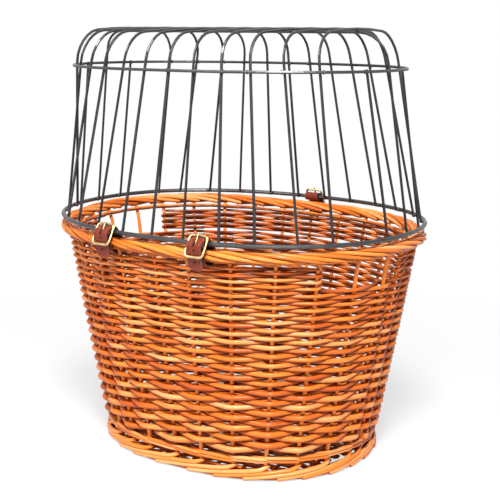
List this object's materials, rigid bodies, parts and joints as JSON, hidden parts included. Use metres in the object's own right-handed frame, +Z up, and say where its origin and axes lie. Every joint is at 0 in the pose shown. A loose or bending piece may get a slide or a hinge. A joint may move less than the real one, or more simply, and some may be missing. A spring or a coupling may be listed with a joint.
{
  "type": "dog bicycle basket",
  "caption": "Oval woven willow basket for carrying a small dog on a bicycle, with a domed wire cage lid that turns on leather buckle straps and closes with another.",
  "frame": {"origin": "on the floor, under the centre of the cage's base ring", "axes": "+X along the long way of the oval towards the right end, +Y towards the closure strap at the back, -Y towards the two hinge straps, +Z up"},
  "size_m": [0.447, 0.3771, 0.4916],
  "materials": {
    "willow": "woven willow rods, orange-brown, glossy varnish",
    "willow_stake": "bare willow stake, orange-brown, glossy varnish",
    "black_wire": "black lacquered steel wire, semi-gloss",
    "leather": "brown strap leather, smooth",
    "brass": "pale polished brass plating"
  },
  "bodies": {
    "basket": {"base_panel": "willow", "foot_border": "willow", "bottom_wale": "willow", "side_wall": "willow", "rim_border": "willow", "hole_stake_right_1": "willow_stake", "hole_stake_right_2": "willow_stake", "hole_stake_left_1": "willow_stake", "hole_stake_left_2": "willow_stake", "left_hinge_strap": "leather", "left_hinge_buckle": "brass", "right_hinge_strap": "leather", "right_hinge_buckle": "brass"},
    "cage": {"base_ring": "black_wire", "mid_ring": "black_wire", "cross_hoop_01": "black_wire", "cross_hoop_02": "black_wire", "cross_hoop_03": "black_wire", "cross_hoop_04": "black_wire", "cross_hoop_05": "black_wire", "cross_hoop_06": "black_wire", "cross_hoop_07": "black_wire", "cross_hoop_08": "black_wire", "cross_hoop_09": "black_wire", "cross_hoop_10": "black_wire", "cross_hoop_11": "black_wire", "cross_hoop_12": "black_wire", "long_hoop": "black_wire", "end_upright_left_front": "black_wire", "end_upright_left_back": "black_wire", "end_upright_right_front": "black_wire", "end_upright_right_back": "black_wire"},
    "closure": {"closure_strap": "leather", "closure_buckle": "brass"},
    "left_tongue": {"left_hinge_buckle_tongue": "brass"},
    "right_tongue": {"right_hinge_buckle_tongue": "brass"},
    "closure_tongue": {"closure_buckle_tongue": "brass"}
  },
  "joints": [
    {"name": "cage_hinge", "type": "hinge", "parent": "basket", "child": "cage", "pos_m": [0.00803, -0.17071, 0.273], "axis": [0.9997, 0.0253, 0], "range_deg": [0, 110]},
    {"name": "closure_swing", "type": "hinge", "parent": "cage", "child": "closure", "pos_m": [-0.0044, 0.17449, 0.273], "axis": [1, 0.0049, 0], "range_deg": [0, 100]},
    {"name": "left_tongue_turn", "type": "hinge", "parent": "basket", "child": "left_tongue", "pos_m": [-0.0537, -0.18018, 0.27115], "axis": [0.9997, 0.0253, 0], "range_deg": [0, 40]},
    {"name": "right_tongue_turn", "type": "hinge", "parent": "basket", "child": "right_tongue", "pos_m": [0.07016, -0.17704, 0.27115], "axis": [0.9997, 0.0253, 0], "range_deg": [0, 40]},
    {"name": "closure_tongue_turn", "type": "hinge", "parent": "closure", "child": "closure_tongue", "pos_m": [-0.00444, 0.18239, 0.27115], "axis": [-1, -0.0049, 0], "range_deg": [0, 40]}
  ]
}
